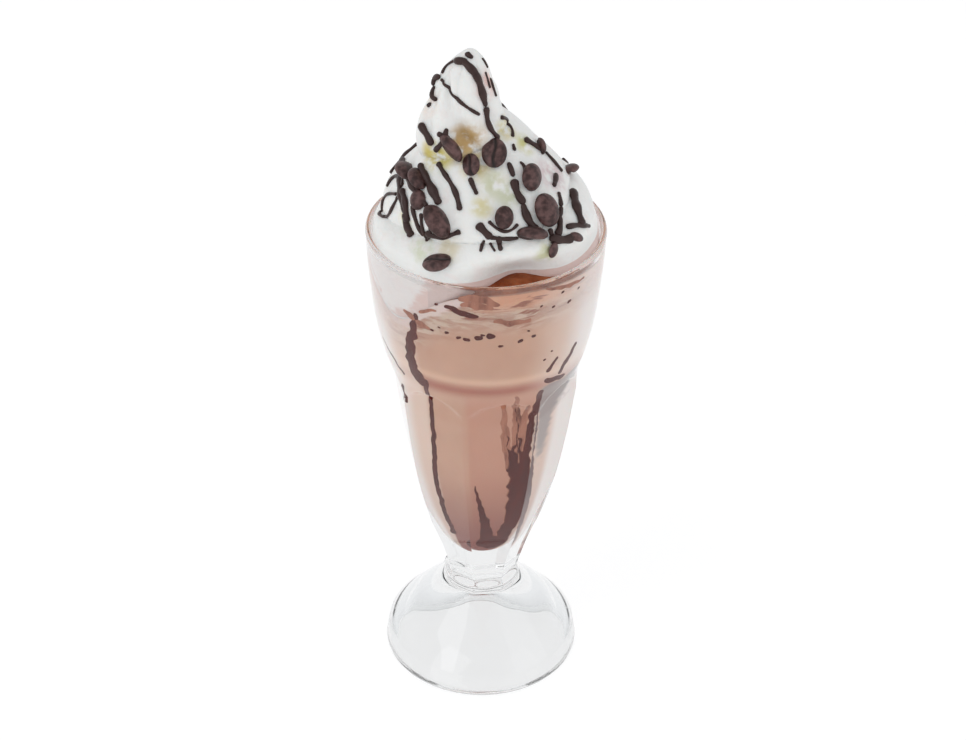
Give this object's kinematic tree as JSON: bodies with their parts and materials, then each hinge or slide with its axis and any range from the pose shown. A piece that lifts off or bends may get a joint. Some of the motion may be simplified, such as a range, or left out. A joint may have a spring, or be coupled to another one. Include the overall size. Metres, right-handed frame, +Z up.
{
  "type": "chocolate milkshake in a footed soda glass",
  "caption": "Tall footed glass with flat panels, filled with chocolate milkshake and topped with a peak of whipped cream, chocolate beans and drizzled sauce.",
  "frame": {"origin": "centre of the foot's underside, on the surface that the glass stands on", "axes": "+Z up along the glass's axis, -Y towards the front, +X to the right seen from the front"},
  "size_m": [0.09, 0.09, 0.272],
  "materials": {
    "clear_glass": "clear pressed glass, polished",
    "milkshake": "smooth pale chocolate drink with a foam and sauce streaks",
    "whipped_cream": "soft satin whipped cream",
    "dark_chocolate": "glossy dark chocolate"
  },
  "bodies": {
    "root": {"glass": "clear_glass", "milkshake": "milkshake", "whipped_cream": "whipped_cream", "bean_01": "dark_chocolate", "bean_02": "dark_chocolate", "bean_03": "dark_chocolate", "bean_04": "dark_chocolate", "bean_05": "dark_chocolate", "bean_06": "dark_chocolate", "bean_07": "dark_chocolate", "bean_08": "dark_chocolate", "bean_09": "dark_chocolate", "bean_10": "dark_chocolate", "bean_11": "dark_chocolate", "bean_12": "dark_chocolate", "bean_13": "dark_chocolate", "bean_14": "dark_chocolate", "bean_15": "dark_chocolate", "bean_16": "dark_chocolate", "bean_17": "dark_chocolate", "bean_18": "dark_chocolate", "bean_19": "dark_chocolate", "bean_20": "dark_chocolate"}
  },
  "joints": []
}
